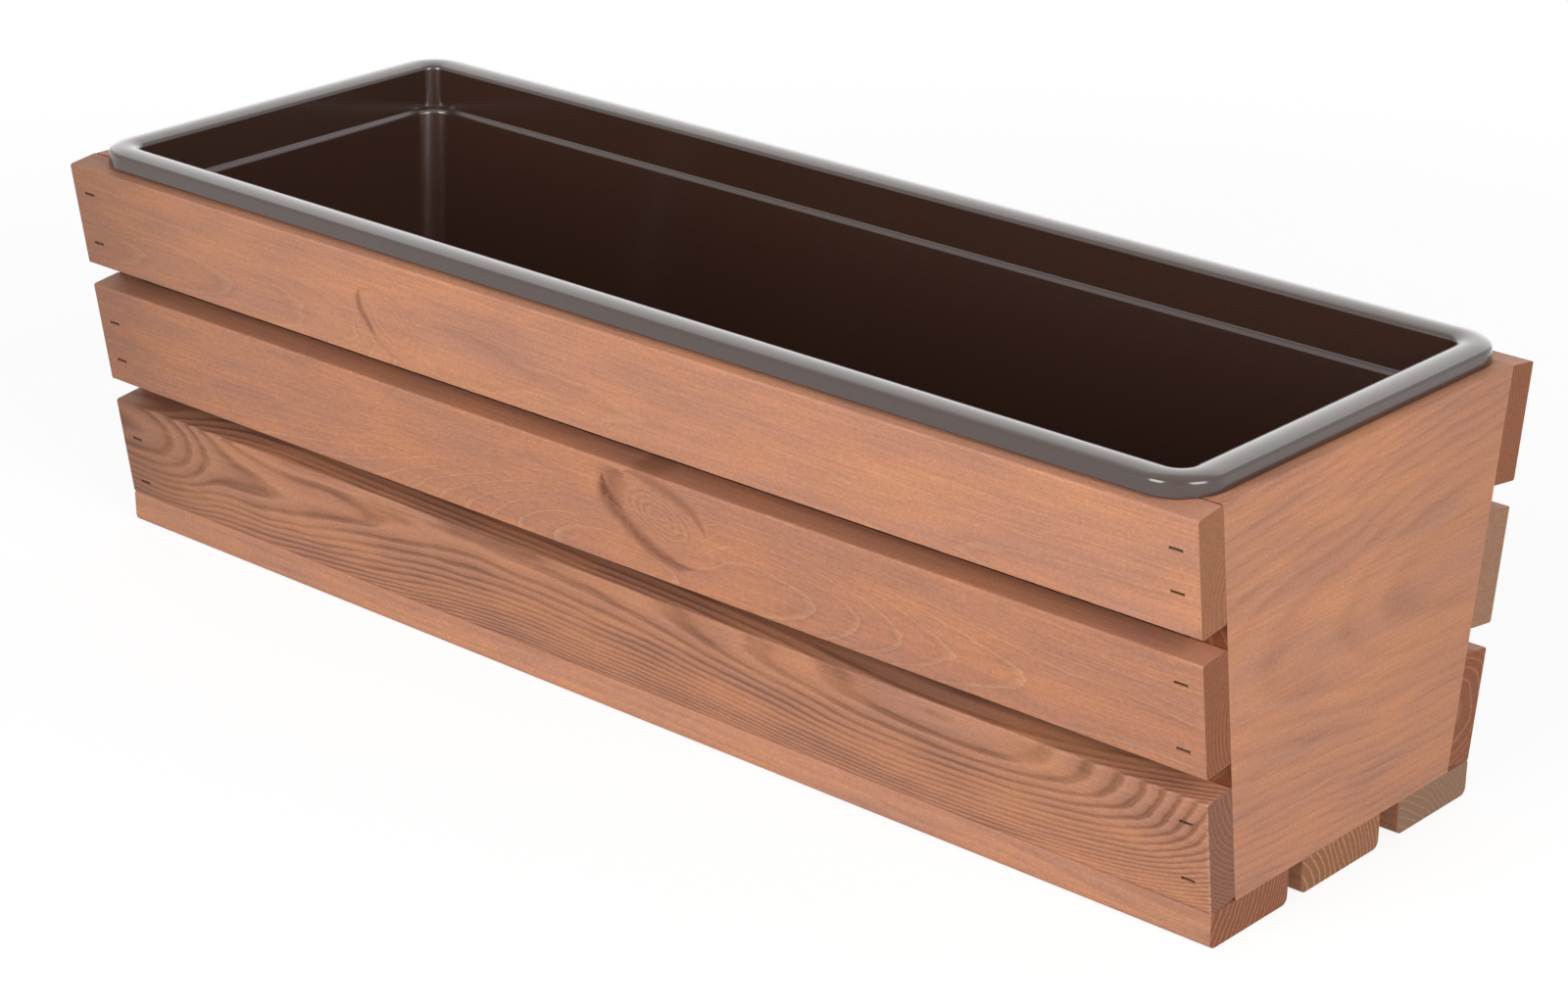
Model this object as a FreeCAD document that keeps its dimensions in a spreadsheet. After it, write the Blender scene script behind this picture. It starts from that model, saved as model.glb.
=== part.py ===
import FreeCAD, Part
import os
import Sketcher

# Slatted window box planter with a lift-out moulded liner.
# Frame: X along the length, Y from front (-) to back (+), Z up. The origin is the middle of the
# footprint, at the level that the base battens stand on. All lengths in millimetres.

NODE_DIR = "parts"

# Driving sizes: name, value, meaning. Angles in degrees.
SIZES = [
    ("box_length", 600.0, "length of every long board"),
    ("base_width", 170.0, "outer width across the base battens"),
    ("board_thickness", 14.5, "thickness of slats and base battens"),
    ("slat_width", 46.8, "width of a side slat"),
    ("slat_gap", 10.1, "gap between side slats"),
    ("side_tilt", 7.8, "outward lean of the long sides from upright"),
    ("arris_radius", 0.8, "eased long edges of the slats"),
    ("batten_width", 48.5, "width of the front and rear base battens"),
    ("middle_batten_width", 51.5, "width of the middle base batten"),
    ("middle_batten_shift", 2.0, "how far the middle batten sits in front of centre"),
    ("batten_top_radius", 0.8, "eased upper edges of the battens"),
    ("batten_low_radius", 3.0, "rounded lower edges of the battens"),
    ("panel_thickness", 16.0, "thickness of an end panel"),
    ("panel_arris", 1.0, "eased top edges of an end panel"),
    ("staple_crown", 6.0, "outside width of a staple"),
    ("staple_leg", 22.0, "length of a staple leg"),
    ("wire_width", 1.2, "staple wire, across the crown"),
    ("wire_thickness", 0.9, "staple wire, along the drive and in the bend"),
    ("staple_sink", 0.8, "depth of the crown below the wood"),
    ("kerf_clearance", 0.05, "room round the wire in the wood"),
    ("batten_staple_pitch", 16.0, "spacing of the two staples in a batten end"),
    ("batten_staple_inset", 8.0, "how far the outer battens' staples stand inside their middle"),
    ("low_left_lower", 7.3, "staple height on the bottom slat, left end, lower"),
    ("low_left_upper", 29.2, "staple height on the bottom slat, left end, upper"),
    ("low_right_lower", 11.7, "staple height on the bottom slat, right end, lower"),
    ("low_right_upper", 36.0, "staple height on the bottom slat, right end, upper"),
    ("mid_left_lower", 11.5, "staple height on the middle slat, left end, lower"),
    ("mid_left_upper", 29.8, "staple height on the middle slat, left end, upper"),
    ("mid_right_lower", 9.6, "staple height on the middle slat, right end, lower"),
    ("mid_right_upper", 36.7, "staple height on the middle slat, right end, upper"),
    ("top_left_lower", 11.4, "staple height on the top slat, left end, lower"),
    ("top_left_upper", 34.6, "staple height on the top slat, left end, upper"),
    ("top_right_lower", 16.2, "staple height on the top slat, right end, lower"),
    ("top_right_upper", 33.3, "staple height on the top slat, right end, upper"),
    ("liner_wall", 1.5, "wall of the moulded liner"),
    ("liner_play_x", 3.45, "room between the liner collar and an end panel"),
    ("liner_play_y", 2.17, "room between the liner's ledge and the top slats"),
    ("liner_shift_x", 0.95, "how far the liner sits to the right in its play"),
    ("liner_shift_y", 0.3, "how far the liner sits to the front in its play"),
    ("rim_half_width", 6.7, "half the width of the rolled rim"),
    ("rim_crown", 3.0, "height of the rim's low crown above its shoulders"),
    ("rim_shoulder_radius", 2.0, "outside radius of the rim's two shoulders"),
    ("rim_skirt", 4.3, "height of the rim skirt below the shoulders"),
    ("rim_flare", 0.5, "outward flare of the rim skirt"),
    ("rim_seat_gap", 0.3, "clearance between the rim skirt and the end panels"),
    ("rim_corner_radius", 13.0, "plan radius of the rim crest at the corners"),
    ("collar_depth", 12.0, "depth of the ledge below the top of the box"),
    ("collar_draft", 1.5, "inward draft of the collar over its height"),
    ("ledge_width", 2.2, "width of the stacking ledge"),
    ("ledge_drop", 0.8, "slope of the stacking ledge over its width"),
    ("tub_corner_radius", 12.0, "plan radius of the tub corners"),
    ("tub_end_draft", 5.0, "inward lean of the liner's end walls"),
    ("tub_side_gap", 3.3, "room between the tub and the slats at floor level"),
    ("tub_floor_gap", 10.0, "room between the liner floor and the battens"),
    ("tub_floor_radius", 8.0, "outside radius between floor and walls"),
]

# Places worked out from the driving sizes: name, formula.
PLACES = [
    ("lean_sin", "=sin(Sizes.side_tilt)"),
    ("lean_cos", "=cos(Sizes.side_tilt)"),
    ("lean_tan", "=tan(Sizes.side_tilt)"),
    # half the inside width between the slats, level with the top of the battens
    ("inner_half", "=Sizes.base_width / 2 - Sizes.board_thickness / lean_cos"),
    # distance up the slope at which the eased outer edge of the bottom slat touches the batten
    ("slat_rest", "=(Sizes.arris_radius + (Sizes.board_thickness - Sizes.arris_radius) * lean_sin)"
                  " / lean_cos - Sizes.arris_radius"),
    ("slat_pitch", "=Sizes.slat_width + Sizes.slat_gap"),
    ("slope_length", "=slat_rest + 2 * slat_pitch + Sizes.slat_width"),
    ("panel_height", "=slope_length * lean_cos"),
    ("box_top", "=Sizes.board_thickness + panel_height"),
    ("top_half", "=inner_half + slope_length * lean_sin"),
    # the staples stand over the middle of the end panels
    ("staple_x", "=Sizes.box_length / 2 - Sizes.panel_thickness / 2 - 1.5 * Sizes.wire_width"),
    ("panel_reach", "=Sizes.staple_sink + Sizes.staple_leg - Sizes.board_thickness"),
    ("leg_offset", "=(Sizes.staple_crown - Sizes.wire_thickness) / 2"),
    # liner: ledge and collar half sizes, clear of the boards, then the rim, then the tub
    ("ledge_z", "=box_top - Sizes.collar_depth"),
    ("ledge_half_y", "=inner_half + (ledge_z - Sizes.liner_wall - Sizes.board_thickness)"
                     " * lean_tan - Sizes.liner_play_y"),
    ("collar_half_x", "=Sizes.box_length / 2 - Sizes.panel_thickness - Sizes.liner_play_x"),
    ("collar_half_y", "=ledge_half_y + Sizes.collar_draft"),
    ("crest_half_x", "=collar_half_x - Sizes.liner_wall + Sizes.rim_half_width"),
    ("crest_half_y", "=collar_half_y - Sizes.liner_wall + Sizes.rim_half_width"),
    ("collar_radius", "=Sizes.rim_corner_radius - Sizes.rim_half_width + Sizes.liner_wall"),
    # the crown is one arc that runs smoothly into both shoulders
    ("shoulder_offset", "=Sizes.rim_half_width - Sizes.rim_shoulder_radius"),
    ("crown_radius", "=(shoulder_offset * shoulder_offset + Sizes.rim_crown * Sizes.rim_crown"
                     " - Sizes.rim_shoulder_radius * Sizes.rim_shoulder_radius)"
                     " / (2 * (Sizes.rim_crown - Sizes.rim_shoulder_radius))"),
    ("crown_lean", "=asin(shoulder_offset / (crown_radius - Sizes.rim_shoulder_radius))"),
    ("roll_z", "=box_top + Sizes.rim_seat_gap + Sizes.rim_skirt"),
    ("floor_z", "=Sizes.board_thickness + Sizes.tub_floor_gap"),
    ("ledge_half_x", "=collar_half_x - Sizes.collar_draft"),
    ("tub_top_half_x", "=ledge_half_x - Sizes.ledge_width"),
    ("tub_top_half_y", "=ledge_half_y - Sizes.ledge_width"),
    ("floor_half_x", "=tub_top_half_x - (ledge_z - floor_z) * tan(Sizes.tub_end_draft)"),
    ("floor_half_y", "=inner_half + Sizes.tub_floor_gap * lean_tan - Sizes.tub_side_gap"),
]

LEVELS = ["bottom", "middle", "top"]
LEVEL_KEYS = {"bottom": "low", "middle": "mid", "top": "top"}
SIDES = {"front": -1, "rear": 1}
ENDS = {"left": -1, "right": 1}
SAME_LEVEL = 0.001

doc = FreeCAD.newDocument("window_box_planter")


def add_sheet(name, rows):
    """A spreadsheet with one aliased cell per row: name, value or formula, meaning."""
    sheet = doc.addObject("Spreadsheet::Sheet", name)
    for number, row in enumerate(rows, start=1):
        cell = "B%d" % number
        sheet.set("A%d" % number, row[0])
        sheet.set(cell, str(row[1]))
        sheet.setAlias(cell, row[0])
        if len(row) > 2:
            sheet.set("C%d" % number, row[2])
    doc.recompute()
    return sheet


sizes = add_sheet("Sizes", SIZES)
places = add_sheet("Places", PLACES)


def value(expression):
    """Present value of a spreadsheet expression, used as the starting size of sketch lines."""
    return float(sizes.evalExpression(expression))


def add_body(label):
    body = doc.addObject("PartDesign::Body", label)
    body.Label = label
    return body


def add_sketch(body, name, plane, offset="placement(vector(0; 0; 0); rotation(vector(0; 0; 1); 0))"):
    """A sketch on one of the body's own origin planes, moved by a bound offset."""
    sketch = body.newObject("Sketcher::SketchObject", name)
    support = [f for f in body.Origin.OriginFeatures if f.Role == plane][0]
    sketch.AttachmentSupport = [(support, "")]
    sketch.MapMode = "FlatFace"
    sketch.setExpression("AttachmentOffset", offset)
    return sketch


def lifted(height):
    """Sketch offset along the plane's normal."""
    return "placement(vector(0; 0; %s); rotation(vector(0; 0; 1); 0))" % height


def constrain(sketch, rules):
    """Constraints added in one go: kind, references and, for a dimension, its bound expression."""
    made = []
    for kind, refs, *bound in rules:
        made.append(Sketcher.Constraint(kind, *refs, *[value(expression) for expression in bound]))
    first = sketch.ConstraintCount
    sketch.addConstraint(made)
    for index, (kind, refs, *bound) in enumerate(rules, start=first):
        if bound:
            sketch.setExpression("Constraints[%d]" % index, bound[0])


def point(x, y):
    return FreeCAD.Vector(x, y, 0)


def rounded_rectangle(sketch, half_w, half_h, low_radius, high_radius):
    """Rectangle centred on the sketch origin, with one radius below and one above."""
    w, h = value(half_w), value(half_h)
    low, high = value(low_radius), value(high_radius)
    corners = [(w - low, -h + low, low, -90), (w - high, h - high, high, 0),
               (-w + high, h - high, high, 90), (-w + low, -h + low, low, 180)]
    lines = [((-w + low, -h), (w - low, -h)), ((w, -h + low), (w, h - high)),
             ((w - high, h), (-w + high, h)), ((-w, h - high), (-w, -h + low))]
    for (start, end), (cx, cy, radius, angle) in zip(lines, corners):
        sketch.addGeometry(Part.LineSegment(point(*start), point(*end)))
        circle = Part.Circle(point(cx, cy), FreeCAD.Vector(0, 0, 1), radius)
        first = FreeCAD.Units.Quantity("%d deg" % angle).getValueAs("rad").Value
        quarter = FreeCAD.Units.Quantity("90 deg").getValueAs("rad").Value
        sketch.addGeometry(Part.ArcOfCircle(circle, first, first + quarter))
    rules = [("Tangent", (index, 2, (index + 1) % 8, 1)) for index in range(8)]
    rules += [("Horizontal", (0,)), ("Horizontal", (4,)), ("Vertical", (2,)), ("Vertical", (6,)),
              ("Equal", (1, 7)), ("Equal", (3, 5)),
              ("Radius", (1,), low_radius), ("Radius", (3,), high_radius),
              ("DistanceX", (6, 1, -1, 1), half_w), ("DistanceX", (-1, 1, 2, 1), half_w),
              ("DistanceY", (0, 1, -1, 1), half_h), ("DistanceY", (-1, 1, 4, 1), half_h)]
    constrain(sketch, rules)


def polygon(sketch, corners):
    """Closed outline through bound corner points, each a pair of expressions."""
    spots = [(value(x), value(y)) for x, y in corners]
    count = len(spots)
    for index in range(count):
        start, end = spots[index], spots[(index + 1) % count]
        sketch.addGeometry(Part.LineSegment(point(*start), point(*end)))
    rules = [("Coincident", (index, 2, (index + 1) % count, 1)) for index in range(count)]
    for index, (x, y) in enumerate(corners):
        rules += [("DistanceX", (-1, 1, index, 1), x), ("DistanceY", (-1, 1, index, 1), y)]
    constrain(sketch, rules)


def rectangles(sketch, boxes):
    """Separate upright rectangles: centre x, centre y, width, height, all expressions."""
    lines, rules = [], []
    for cx, cy, width, height in boxes:
        left, bottom = "(%s) - (%s) / 2" % (cx, width), "(%s) - (%s) / 2" % (cy, height)
        x0, y0, w, h = value(left), value(bottom), value(width), value(height)
        base = len(lines)
        spots = [(x0, y0), (x0 + w, y0), (x0 + w, y0 + h), (x0, y0 + h)]
        for index, kind in enumerate(("Horizontal", "Vertical", "Horizontal", "Vertical")):
            start, end = spots[index], spots[(index + 1) % 4]
            lines.append(Part.LineSegment(point(*start), point(*end)))
            rules.append(("Coincident", (base + index, 2, base + (index + 1) % 4, 1)))
            rules.append((kind, (base + index,)))
        rules += [("DistanceX", (-1, 1, base, 1), left), ("DistanceY", (-1, 1, base, 1), bottom),
                  ("DistanceX", (base, 1, base, 2), width),
                  ("DistanceY", (base + 1, 1, base + 1, 2), height)]
    sketch.addGeometry(lines)
    constrain(sketch, rules)


def add_pad(body, name, sketch, length):
    """Pad both ways from the sketch plane."""
    pad = body.newObject("PartDesign::Pad", name)
    pad.Profile = sketch
    pad.SideType = "Symmetric"
    pad.setExpression("Length", length)
    return pad


def add_pocket(body, name, sketch, depth, reverse):
    pocket = body.newObject("PartDesign::Pocket", name)
    pocket.Profile = sketch
    pocket.Reversed = reverse
    pocket.setExpression("Length", depth)
    return pocket


CROWN_SLOT_W = "Sizes.staple_crown + 2 * Sizes.kerf_clearance"
CROWN_SLOT_H = "Sizes.wire_width + 2 * Sizes.kerf_clearance"
LEG_HOLE_W = "Sizes.wire_thickness + 2 * Sizes.kerf_clearance"
SLOT_DEPTH = "Sizes.staple_sink + Sizes.wire_thickness + Sizes.kerf_clearance"


def kerfs(body, face_offset, plane, centres, reverse):
    """Crown slots in the face of a board and leg holes right through it."""
    slots = add_sketch(body, body.Label + "_slots", plane, face_offset)
    rectangles(slots, [(x, y, CROWN_SLOT_W, CROWN_SLOT_H) for x, y in centres])
    add_pocket(body, body.Label + "_crown_slots", slots, SLOT_DEPTH, reverse)
    holes = add_sketch(body, body.Label + "_holes", plane, face_offset)
    legs = []
    for x, y in centres:
        for sign in ("-", "+"):
            legs.append(("(%s) %s Places.leg_offset" % (x, sign), y, LEG_HOLE_W, CROWN_SLOT_H))
    rectangles(holes, legs)
    add_pocket(body, body.Label + "_leg_holes", holes, "Sizes.board_thickness", reverse)


def slat_staples(level):
    """Staple centres on a slat, measured from the middle of its face."""
    centres = []
    for end, sign in ENDS.items():
        for row in ("lower", "upper"):
            height = "Sizes.%s_%s_%s - Sizes.slat_width / 2" % (LEVEL_KEYS[level], end, row)
            centres.append(("%d * Places.staple_x" % sign, height))
    return centres


# Side slats. Each is drawn flat, centred on its own origin, then leaned out and set in place:
# its inner face lies against the sloping edges of the end panels.
def slat_placement(level, side):
    sign = SIDES[side]
    row = LEVELS.index(level)
    up = "(Places.slat_rest + %d * Places.slat_pitch + Sizes.slat_width / 2)" % row
    out = "Sizes.board_thickness / 2"
    y = "%d * (Places.inner_half + %s * Places.lean_sin + %s * Places.lean_cos)" % (sign, up, out)
    z = "Sizes.board_thickness + %s * Places.lean_cos - %s * Places.lean_sin" % (up, out)
    turn = "rotation(vector(1; 0; 0); %d * Sizes.side_tilt)" % -sign
    return "placement(vector(0; %s; %s); %s)" % (y, z, turn)


for side, side_sign in SIDES.items():
    for level in LEVELS:
        slat = add_body("%s_slat_%s" % (side, level))
        section = add_sketch(slat, slat.Label + "_section", "YZ_Plane")
        rounded_rectangle(section, "Sizes.board_thickness / 2", "Sizes.slat_width / 2",
                          "Sizes.arris_radius", "Sizes.arris_radius")
        add_pad(slat, slat.Label + "_board", section, "Sizes.box_length")
        face = lifted("%d * Sizes.board_thickness / 2" % -side_sign)
        kerfs(slat, face, "XZ_Plane", slat_staples(level), side == "rear")
        slat.setExpression("Placement", slat_placement(level, side))

# Base battens, full length, with the staples driven up from below: name, width, middle of the
# board, middle of its staples.
BATTENS = [
    ("front", "Sizes.batten_width", "-(Sizes.base_width - Sizes.batten_width) / 2",
     "-((Sizes.base_width - Sizes.batten_width) / 2 - Sizes.batten_staple_inset)"),
    ("middle", "Sizes.middle_batten_width", "-Sizes.middle_batten_shift",
     "-Sizes.middle_batten_shift"),
    ("rear", "Sizes.batten_width", "(Sizes.base_width - Sizes.batten_width) / 2",
     "((Sizes.base_width - Sizes.batten_width) / 2 - Sizes.batten_staple_inset)"),
]

for name, width, centre_y, staple_y in BATTENS:
    batten = add_body("base_batten_%s" % name)
    section = add_sketch(batten, batten.Label + "_section", "YZ_Plane")
    rounded_rectangle(section, width + " / 2", "Sizes.board_thickness / 2",
                      "Sizes.batten_low_radius", "Sizes.batten_top_radius")
    add_pad(batten, batten.Label + "_board", section, "Sizes.box_length")
    spots = []
    for sign in ENDS.values():
        for row in ("-", "+"):
            spots.append(("%d * Places.staple_x" % sign,
                          "%s - (%s) %s Sizes.batten_staple_pitch / 2" % (staple_y, centre_y, row)))
    kerfs(batten, lifted("-Sizes.board_thickness / 2"), "XY_Plane", spots, True)
    batten.setExpression("Placement", "placement(vector(0; %s; Sizes.board_thickness / 2);"
                         " rotation(vector(1; 0; 0); 0))" % centre_y)

# End panels: solid trapezoids that stand on the battens between the two slatted sides.
for end, end_sign in ENDS.items():
    panel = add_body("end_panel_%s" % end)
    outline = add_sketch(panel, panel.Label + "_outline", "YZ_Plane")
    polygon(outline, [("-Places.inner_half", "0"), ("Places.inner_half", "0"),
                      ("Places.top_half", "Places.panel_height"),
                      ("-Places.top_half", "Places.panel_height")])
    board = add_pad(panel, panel.Label + "_board", outline, "Sizes.panel_thickness")
    doc.recompute()
    top_level = board.Shape.BoundBox.ZMax - SAME_LEVEL
    top_edges = ["Edge%d" % (number + 1) for number, edge in enumerate(board.Shape.Edges)
                 if edge.BoundBox.ZMin > top_level and edge.BoundBox.YLength > edge.BoundBox.XLength]
    eased = panel.newObject("PartDesign::Fillet", panel.Label + "_eased_top")
    eased.Base = (board, top_edges)
    eased.setExpression("Radius", "Sizes.panel_arris")
    # leg holes in both sloping edges, where the slats are stapled on
    staple_x = "%d * (Places.staple_x - (Sizes.box_length - Sizes.panel_thickness) / 2)" % end_sign
    legs = []
    for row, level in enumerate(LEVELS):
        for name in ("lower", "upper"):
            up = "Places.slat_rest + %d * Places.slat_pitch + Sizes.%s_%s_%s" % (
                row, LEVEL_KEYS[level], end, name)
            for sign in ("-", "+"):
                legs.append(("%s %s Places.leg_offset" % (staple_x, sign), up,
                             LEG_HOLE_W, CROWN_SLOT_H))
    for side, sign in SIDES.items():
        edge = "placement(vector(0; 0; %d * Places.inner_half); rotation(vector(1; 0; 0);" \
               " %d * Sizes.side_tilt))" % (-sign, -sign)
        holes = add_sketch(panel, "%s_%s_holes" % (panel.Label, side), "XZ_Plane", edge)
        rectangles(holes, legs)
        add_pocket(panel, "%s_%s_leg_holes" % (panel.Label, side), holes,
                   "Places.panel_reach + Sizes.kerf_clearance", side == "rear")
    # leg holes in the bottom edge, over the battens
    legs = []
    for name, width, centre_y, staple_y in BATTENS:
        for row in ("-", "+"):
            for sign in ("-", "+"):
                legs.append(("%s %s Places.leg_offset" % (staple_x, sign),
                             "%s %s Sizes.batten_staple_pitch / 2" % (staple_y, row),
                             LEG_HOLE_W, CROWN_SLOT_H))
    holes = add_sketch(panel, panel.Label + "_base_holes", "XY_Plane")
    rectangles(holes, legs)
    add_pocket(panel, panel.Label + "_base_leg_holes", holes,
               "Places.panel_reach + Sizes.kerf_clearance", True)
    panel.setExpression("Placement", "placement(vector(%d * (Sizes.box_length"
                        " - Sizes.panel_thickness) / 2; 0; Sizes.board_thickness);"
                        " rotation(vector(1; 0; 0); 0))" % end_sign)


# Staples: a bent wire with a crown and two legs, drawn with the crown below the drive direction +Y.
# Each node is the pair in one board end.
def add_staples(label, pitch, placement):
    group = add_body(label)
    group.AllowCompound = True
    wire = add_sketch(group, label + "_wire", "XY_Plane")
    half, thick, leg = "Sizes.staple_crown / 2", "Sizes.wire_thickness", "Sizes.staple_leg"
    inner = "(%s - %s)" % (half, thick)
    polygon(wire, [("-" + half, "0"), (half, "0"), (half, leg), (inner, leg), (inner, thick),
                   ("-1 * " + inner, thick), ("-1 * " + inner, leg), ("-" + half, leg)])
    pad = add_pad(group, label + "_first", wire, "Sizes.wire_width")
    pattern = group.newObject("PartDesign::LinearPattern", label + "_pair")
    pattern.Originals = [pad]
    pattern.Direction = (wire, ["N_Axis"])
    pattern.setExpression("Length", pitch)
    pattern.Occurrences = 2
    group.Tip = pattern
    group.setExpression("Placement", placement)


for side, side_sign in SIDES.items():
    for level in LEVELS:
        for end, end_sign in ENDS.items():
            key = "Sizes.%s_%s" % (LEVEL_KEYS[level], end)
            up = "(Places.slat_rest + %d * Places.slat_pitch + %s_lower)" % (
                LEVELS.index(level), key)
            out = "(Sizes.board_thickness - Sizes.staple_sink)"
            y = "%d * (Places.inner_half + %s * Places.lean_sin + %s * Places.lean_cos)" % (
                side_sign, up, out)
            z = "Sizes.board_thickness + %s * Places.lean_cos - %s * Places.lean_sin" % (up, out)
            if side == "front":
                turn = "rotation(vector(1; 0; 0); Sizes.side_tilt)"
            else:
                turn = "rotation(vector(0; 0; 1); 180) * rotation(vector(1; 0; 0); Sizes.side_tilt)"
            add_staples("staples_%s_%s_%s" % (side, level, end),
                        "%s_upper - %s_lower" % (key, key),
                        "placement(vector(%d * Places.staple_x; %s; %s); %s)" % (
                            end_sign, y, z, turn))

for name, width, centre_y, staple_y in BATTENS:
    for end, end_sign in ENDS.items():
        add_staples("staples_base_%s_%s" % (name, end), "Sizes.batten_staple_pitch",
                    "placement(vector(%d * Places.staple_x; %s + Sizes.batten_staple_pitch / 2;"
                    " Sizes.staple_sink); rotation(vector(1; 0; 0); 90))" % (end_sign, staple_y))

# Liner: a thin moulded tub that follows the lean of the sides, a stacking ledge, a collar above it
# and a rolled rim whose skirt rests on the end panels.
liner = add_body("liner")


WALL = "Sizes.liner_wall"
BEND_STEPS = 4


def liner_outline(name, height, half_x, half_y, radius):
    sketch = add_sketch(liner, "liner_" + name, "XY_Plane", lifted(height))
    rounded_rectangle(sketch, half_x, half_y, radius, radius)
    return sketch


def liner_rings(face, skin):
    """Outlines of one face of the wall, from the floor up; skin is its distance inwards."""
    rings = []
    bend = "(Sizes.tub_floor_radius - %s)" % skin
    for step in range(BEND_STEPS + 1):
        angle = 90.0 * step / BEND_STEPS
        inset = "(%s + %s * (1 - sin(%s)))" % (skin, bend, angle)
        rings.append(liner_outline(
            "%s_bend_%d" % (face, step),
            "Places.floor_z + %s + %s * (1 - cos(%s))" % (skin, bend, angle),
            "Places.floor_half_x - " + inset, "Places.floor_half_y - " + inset,
            "Sizes.tub_corner_radius - " + inset))
    # the outside of the ledge lies one wall below the inside
    drop = "(%s - %s)" % (WALL, skin)
    rings.append(liner_outline(
        face + "_tub_top", "Places.ledge_z - Sizes.ledge_drop - " + drop,
        "Places.tub_top_half_x - " + skin, "Places.tub_top_half_y - " + skin,
        "Sizes.tub_corner_radius - " + skin))
    rings.append(liner_outline(
        face + "_ledge", "Places.ledge_z - " + drop, "Places.ledge_half_x - " + skin,
        "Places.ledge_half_y - " + skin, "Places.collar_radius - " + skin))
    rings.append(liner_outline(
        face + "_collar", "Places.roll_z", "Places.collar_half_x - " + skin,
        "Places.collar_half_y - " + skin, "Places.collar_radius - " + skin))
    return rings


def add_loft(kind, name, rings):
    loft = liner.newObject("PartDesign::" + kind, "liner_" + name)
    loft.Profile = rings[0]
    loft.Sections = rings[1:]
    loft.Ruled = True
    return loft


add_loft("AdditiveLoft", "tub", liner_rings("outside", "0"))

spine = liner_outline("rim_path", "Places.roll_z", "Places.crest_half_x", "Places.crest_half_y",
                      "Sizes.rim_corner_radius")
hook = add_sketch(liner, "liner_rim_section", "YZ_Plane")
crest_y, roll_z = value("-Places.crest_half_y"), value("Places.roll_z")
wall, flare, skirt_z = value(WALL), value("Sizes.rim_flare"), value("Places.box_top + Sizes.rim_seat_gap")
half, offset = value("Sizes.rim_half_width"), value("Places.shoulder_offset")
crown, shoulder = value("Places.crown_radius"), value("Sizes.rim_shoulder_radius")
lean = value("Places.crown_lean")
crown_z = roll_z + value("Sizes.rim_crown") - crown


def add_arc(centre_y, centre_z, radius, first, last):
    """Arc of the rim section, with its two angles in degrees."""
    circle = Part.Circle(point(centre_y, centre_z), FreeCAD.Vector(0, 0, 1), radius)
    turns = [FreeCAD.Units.Quantity("%f deg" % angle).getValueAs("rad").Value
             for angle in (first, last)]
    hook.addGeometry(Part.ArcOfCircle(circle, *turns))


def add_line(*ends):
    hook.addGeometry(Part.LineSegment(*[point(*end) for end in ends]))


# outside of the crown and of the shoulder over the skirt, the skirt, and the inside back up
add_arc(crest_y, crown_z, crown, 90 - lean, 90 + lean)
add_arc(crest_y - offset, roll_z, shoulder, 90 + lean, 180)
add_line((crest_y - half, roll_z), (crest_y - half - flare, skirt_z))
add_line((crest_y - half - flare, skirt_z), (crest_y - half - flare + wall, skirt_z))
add_line((crest_y - half - flare + wall, skirt_z), (crest_y - half + wall, roll_z))
add_arc(crest_y - offset, roll_z, shoulder - wall, 90 + lean, 180)
add_arc(crest_y, crown_z, crown - wall, 90 - lean, 90 + lean)
# inside and outside of the shoulder over the collar, joined by the collar's top
add_arc(crest_y + offset, roll_z, shoulder - wall, 0, 90 - lean)
add_line((crest_y + half - wall, roll_z), (crest_y + half, roll_z))
add_arc(crest_y + offset, roll_z, shoulder, 0, 90 - lean)
smooth = ((0, 2, 1, 1), (0, 1, 9, 2), (6, 2, 5, 1), (6, 1, 7, 2))
corners = ((1, 2, 2, 1), (2, 2, 3, 1), (3, 2, 4, 1), (4, 2, 5, 2), (7, 1, 8, 1), (8, 2, 9, 1),
           (1, 3, 5, 3), (9, 3, 7, 3))
level = ((3,), (1, 2, 1, 3), (5, 2, 5, 3), (9, 1, 9, 3), (7, 1, 7, 3))
constrain(hook, [("Tangent", ends) for ends in smooth]
          + [("Coincident", corner) for corner in corners]
          + [("Horizontal", ends) for ends in level]
          + [("Radius", (index,), "Sizes.rim_shoulder_radius") for index in (1, 9)]
          + [("Radius", (index,), "Sizes.rim_shoulder_radius - " + WALL) for index in (5, 7)]
          + [("Radius", (0,), "Places.crown_radius"),
             ("Radius", (6,), "Places.crown_radius - " + WALL),
             ("DistanceX", (-1, 1, 1, 3), "-Places.crest_half_y - Places.shoulder_offset"),
             ("DistanceY", (-1, 1, 1, 3), "Places.roll_z"),
             ("DistanceX", (-1, 1, 9, 3), "-Places.crest_half_y + Places.shoulder_offset"),
             ("DistanceY", (-1, 1, 9, 3), "Places.roll_z"),
             ("DistanceY", (-1, 1, 3, 1), "Places.box_top + Sizes.rim_seat_gap"),
             ("DistanceX", (2, 2, 2, 1), "Sizes.rim_flare"), ("DistanceX", (3, 1, 3, 2), WALL)])
rim = liner.newObject("PartDesign::AdditivePipe", "liner_rim")
rim.Profile = hook
rim.Spine = (spine, [])

add_loft("SubtractiveLoft", "hollow", liner_rings("inside", WALL))
liner.setExpression("Placement", "placement(vector(Sizes.liner_shift_x; -Sizes.liner_shift_y; 0);"
                    " rotation(vector(0; 0; 1); 0))")

doc.recompute()

for item in doc.Objects:
    if "Invalid" in item.State or "Error" in item.State:
        raise RuntimeError("%s did not recompute: %s" % (item.Name, item.State))

bodies = [item for item in doc.Objects if item.TypeId == "PartDesign::Body"]
for body in bodies:
    if body.Shape.isNull() or not body.Shape.isValid():
        raise RuntimeError("%s has no valid shape" % body.Label)

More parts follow.
